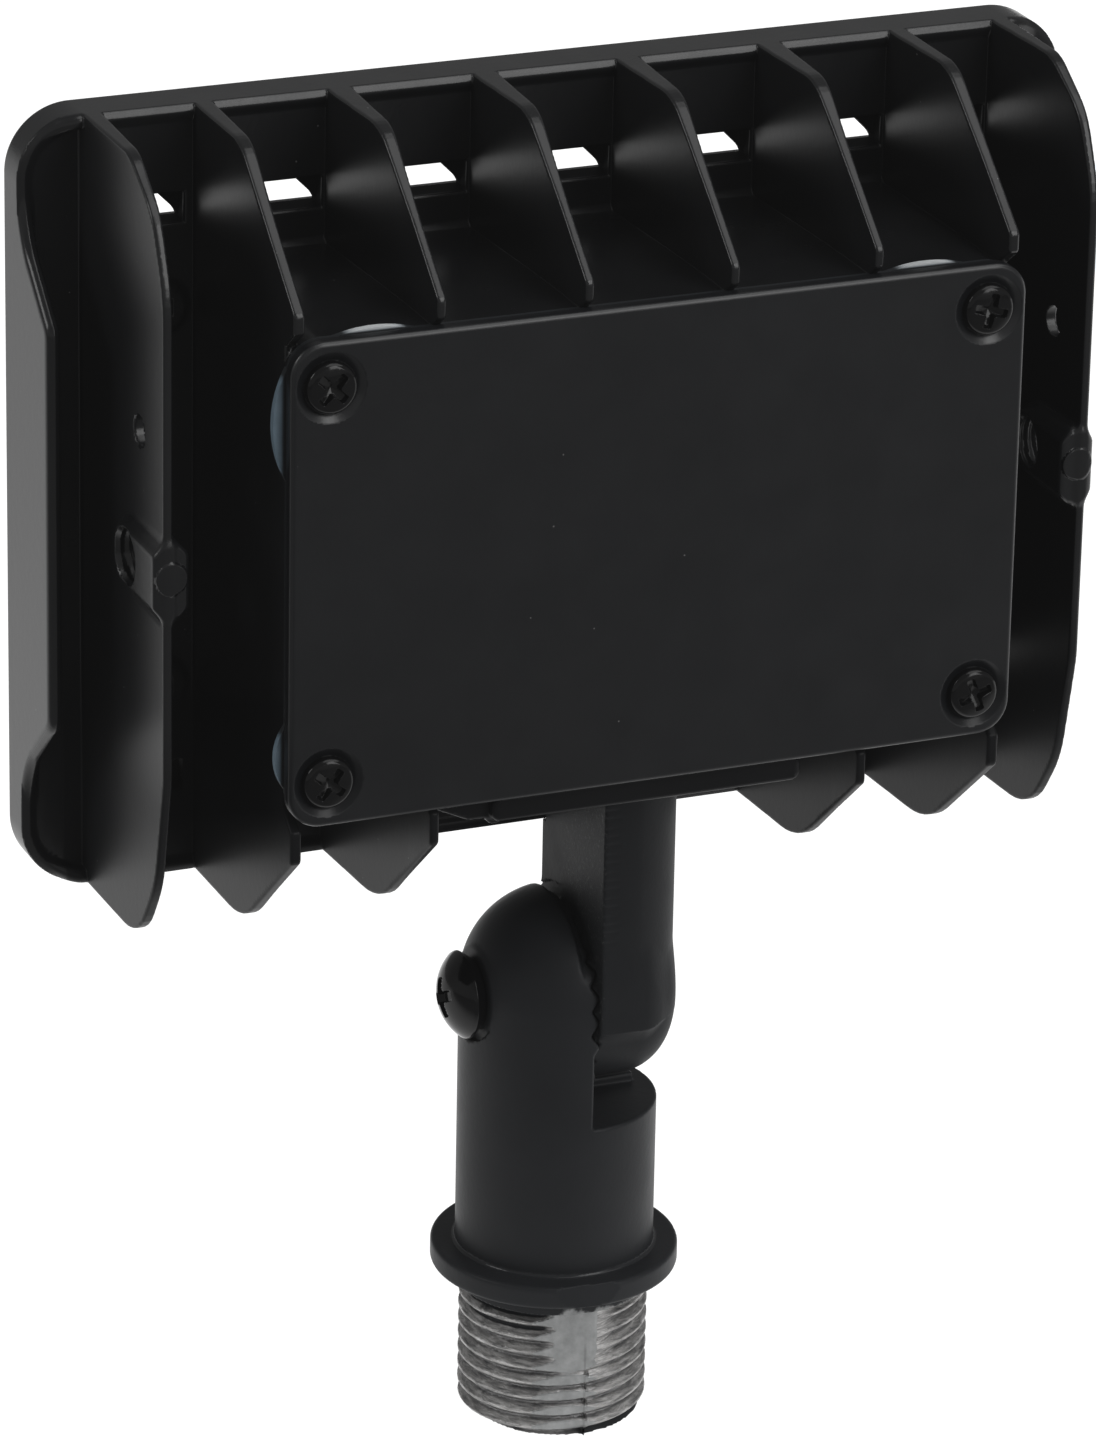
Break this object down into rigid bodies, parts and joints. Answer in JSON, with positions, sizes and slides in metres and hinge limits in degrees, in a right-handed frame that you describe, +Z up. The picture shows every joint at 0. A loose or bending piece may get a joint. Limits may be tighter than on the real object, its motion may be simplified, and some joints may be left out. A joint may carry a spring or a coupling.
{
  "type": "led flood light",
  "caption": "Small outdoor LED flood light: finned die-cast head with a rear driver box, tilting on a toothed knuckle with a hollow threaded conduit stem.",
  "frame": {"origin": "on the stem's axis at the underside of its flange, where the thread starts", "axes": "+Z up along the stem; +Y the way the light points with the head level; +X right when seen from behind, along the tilt axis"},
  "size_m": [0.1178, 0.039, 0.1525],
  "materials": {
    "cast_black": "satin black powder coat on die-cast aluminium",
    "knuckle_black": "matte black powder coat, bare grey metal on the stem thread",
    "cover_black": "matte black powder coat, flat plate",
    "bezel_black": "satin black powder coat",
    "screw_black": "black oxide, slightly glossy",
    "screw_zinc": "bright zinc plating",
    "silicone_grey": "pale blue-grey silicone, matte",
    "silicone_clear": "milky silicone",
    "rubber_black": "matte EPDM",
    "rubber_red": "red-brown silicone",
    "film": "insulating film",
    "pcb_green": "green solder mask",
    "pcb_white": "white solder mask on an aluminium core",
    "transformer": "yellow tape over copper winding and ferrite",
    "capacitor": "dark sleeve",
    "inductor": "green toroid with copper winding",
    "chip_black": "moulded epoxy",
    "terminal": "green moulded terminal block",
    "pad_pink": "thermal pad",
    "led": "white package with yellow phosphor",
    "lead_red": "insulated lead",
    "reflector": "bright metallised plastic",
    "glass": "clear tempered glass"
  },
  "bodies": {
    "stem": {"knuckle_base": "knuckle_black"},
    "head": {"pivot_bolt": "screw_black", "upper_arm": "knuckle_black", "arm_gasket": "rubber_black", "arm_screws": "screw_zinc", "supply_lead_seal": "rubber_red", "housing": "cast_black", "rear_cover": "cover_black", "cover_gasket": "silicone_grey", "cover_screws": "screw_black", "driver_insulator": "film", "driver_board": "pcb_green", "driver_board_screws": "screw_zinc", "driver_transformer": "transformer", "driver_capacitors": "capacitor", "driver_inductor": "inductor", "driver_rectifier": "chip_black", "driver_switch": "chip_black", "driver_terminals": "terminal", "thermal_pad": "pad_pink", "led_board": "pcb_white", "led_board_screws": "screw_zinc", "led_chips": "led", "led_leads": "lead_red", "lead_grommet": "rubber_black", "reflector": "reflector", "lens_gasket": "silicone_clear", "lens": "glass", "lens_bezel": "bezel_black", "bezel_screws": "screw_black"}
  },
  "joints": [
    {"name": "knuckle_tilt", "type": "hinge", "parent": "stem", "child": "head", "pos_m": [0, 0, 0.0332], "axis": [1, 0, 0], "range_deg": [-90, 90]}
  ]
}
